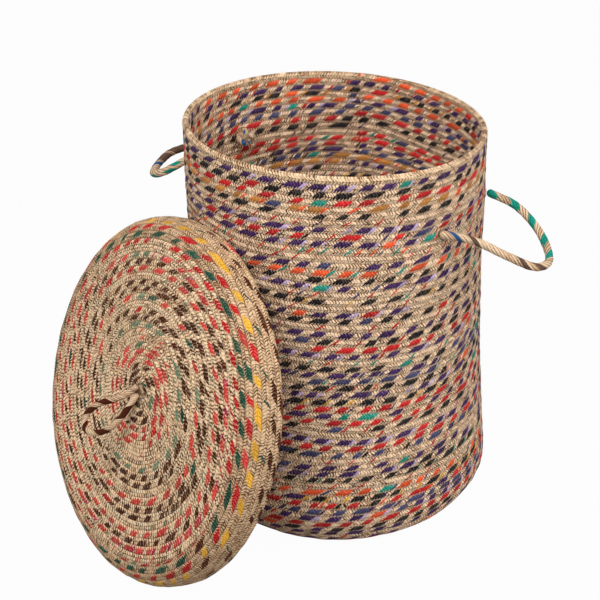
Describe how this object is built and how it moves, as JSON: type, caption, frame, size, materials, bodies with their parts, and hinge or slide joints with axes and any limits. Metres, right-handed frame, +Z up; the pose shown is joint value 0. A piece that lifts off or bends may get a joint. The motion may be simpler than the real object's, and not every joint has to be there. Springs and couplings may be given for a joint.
{
  "type": "laundry basket",
  "caption": "Round coiled jute laundry basket with rag-fleck rope, two rope hand loops, and a shallow coiled lid with a cord loop, leaning against its wall.",
  "frame": {"origin": "centre of the underside of the basket's base, on the floor", "axes": "+Z up along the basket's axis, -Y towards the front, where the lid leans to the left"},
  "size_m": [0.6286, 0.5496, 0.5198],
  "materials": {
    "plain_jute": "plain twisted jute rope",
    "dark_rag_jute": "twisted jute rope with purple, black, red and teal rag strips",
    "bright_rag_jute": "twisted jute rope with orange, red, lilac and black rag strips",
    "brown_rag_jute": "twisted jute rope with dark brown, coral and green rag strips",
    "green_rag_jute": "twisted jute rope with dark green, coral, red and yellow rag strips",
    "handle_jute": "smooth wrapped jute cord with teal, brown and blue strips"
  },
  "bodies": {
    "basket": {"base_coil": "dark_rag_jute", "heel_coil": "dark_rag_jute", "wall_coil_1": "dark_rag_jute", "wall_coil_2": "bright_rag_jute", "wall_coil_3": "dark_rag_jute", "wall_coil_4": "bright_rag_jute", "rim_coil": "plain_jute", "handle_right_knot_back": "handle_jute", "handle_right_knot_front": "handle_jute", "handle_left_knot_back": "handle_jute", "handle_left_knot_front": "handle_jute"},
    "handle_right": {"handle_right": "handle_jute"},
    "handle_left": {"handle_left": "handle_jute"},
    "lid": {"lid_centre_coil": "brown_rag_jute", "lid_outer_coil": "green_rag_jute", "lid_skirt_coil": "green_rag_jute", "lid_edge_rope": "plain_jute", "lid_loop_knot": "handle_jute"},
    "lid_loop": {"lid_loop": "handle_jute"}
  },
  "joints": [
    {"name": "lid_lift", "type": "slide", "parent": "basket", "child": "lid", "axis": [-0.5735, -0.4136, 0.7071], "range_m": [0, 0.6]},
    {"name": "handle_right_swing", "type": "hinge", "parent": "basket", "child": "handle_right", "pos_m": [0.15466, -0.08822, 0.42191], "axis": [-0.4954, -0.8685, 0.0195], "range_deg": [-55, 95]},
    {"name": "handle_left_swing", "type": "hinge", "parent": "basket", "child": "handle_left", "pos_m": [-0.15846, 0.09149, 0.44337], "axis": [0.4999, 0.8659, -0.0201], "range_deg": [-55, 100]},
    {"name": "lid_loop_swing", "type": "hinge", "parent": "lid", "child": "lid_loop", "pos_m": [-0.2459, -0.17397, 0.23462], "axis": [0.0332, -0.5549, -0.8313], "range_deg": [-120, 45]}
  ]
}
